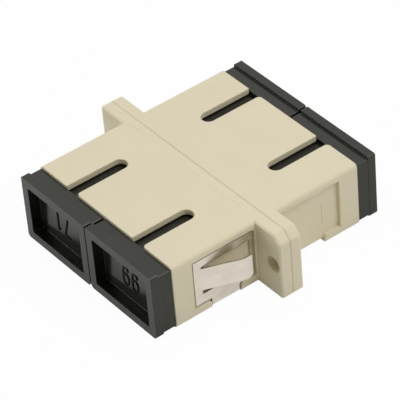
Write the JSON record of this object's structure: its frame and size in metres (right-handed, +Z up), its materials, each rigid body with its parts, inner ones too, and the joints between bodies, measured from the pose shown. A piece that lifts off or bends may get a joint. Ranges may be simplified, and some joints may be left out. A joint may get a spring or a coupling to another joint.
{
  "type": "duplex fibre adapter",
  "caption": "Duplex push-pull fibre adapter with a screw flange, a spring clip for snap-in panels, split alignment sleeves and pull-out dust caps.",
  "frame": {"origin": "middle of the underside, at the weld seam between the two housing halves", "axes": "+X across the ports towards the flange ear with the cut corner, +Y along the ports from the clip's half to the other, +Z up to the key slots"},
  "size_m": [0.034, 0.0332, 0.0091],
  "materials": {
    "housing": "fine satin, beige",
    "spring_sheet": "rolled sheet",
    "holder": "smooth, natural",
    "sleeve": "phosphor bronze, bright",
    "cap": "fine texture, charcoal"
  },
  "bodies": {
    "adapter": {"housing_front": "housing", "housing_rear": "housing", "panel_clip": "spring_sheet", "sleeve_holder_front_left": "holder", "sleeve_holder_front_right": "holder", "sleeve_holder_rear_left": "holder", "sleeve_holder_rear_right": "holder", "split_sleeve_left": "sleeve", "split_sleeve_right": "sleeve"},
    "dust_cap_front_left": {"dust_cap_front_left": "cap"},
    "dust_cap_front_right": {"dust_cap_front_right": "cap"},
    "dust_cap_rear_left": {"dust_cap_rear_left": "cap"},
    "dust_cap_rear_right": {"dust_cap_rear_right": "cap"}
  },
  "joints": [
    {"name": "dust_cap_front_left_pull", "type": "slide", "parent": "adapter", "child": "dust_cap_front_left", "axis": [0, -1, 0], "range_m": [0, 0.02]},
    {"name": "dust_cap_front_right_pull", "type": "slide", "parent": "adapter", "child": "dust_cap_front_right", "axis": [0, -1, 0], "range_m": [0, 0.02]},
    {"name": "dust_cap_rear_left_pull", "type": "slide", "parent": "adapter", "child": "dust_cap_rear_left", "axis": [0, 1, 0], "range_m": [0, 0.02]},
    {"name": "dust_cap_rear_right_pull", "type": "slide", "parent": "adapter", "child": "dust_cap_rear_right", "axis": [0, 1, 0], "range_m": [0, 0.02]}
  ]
}
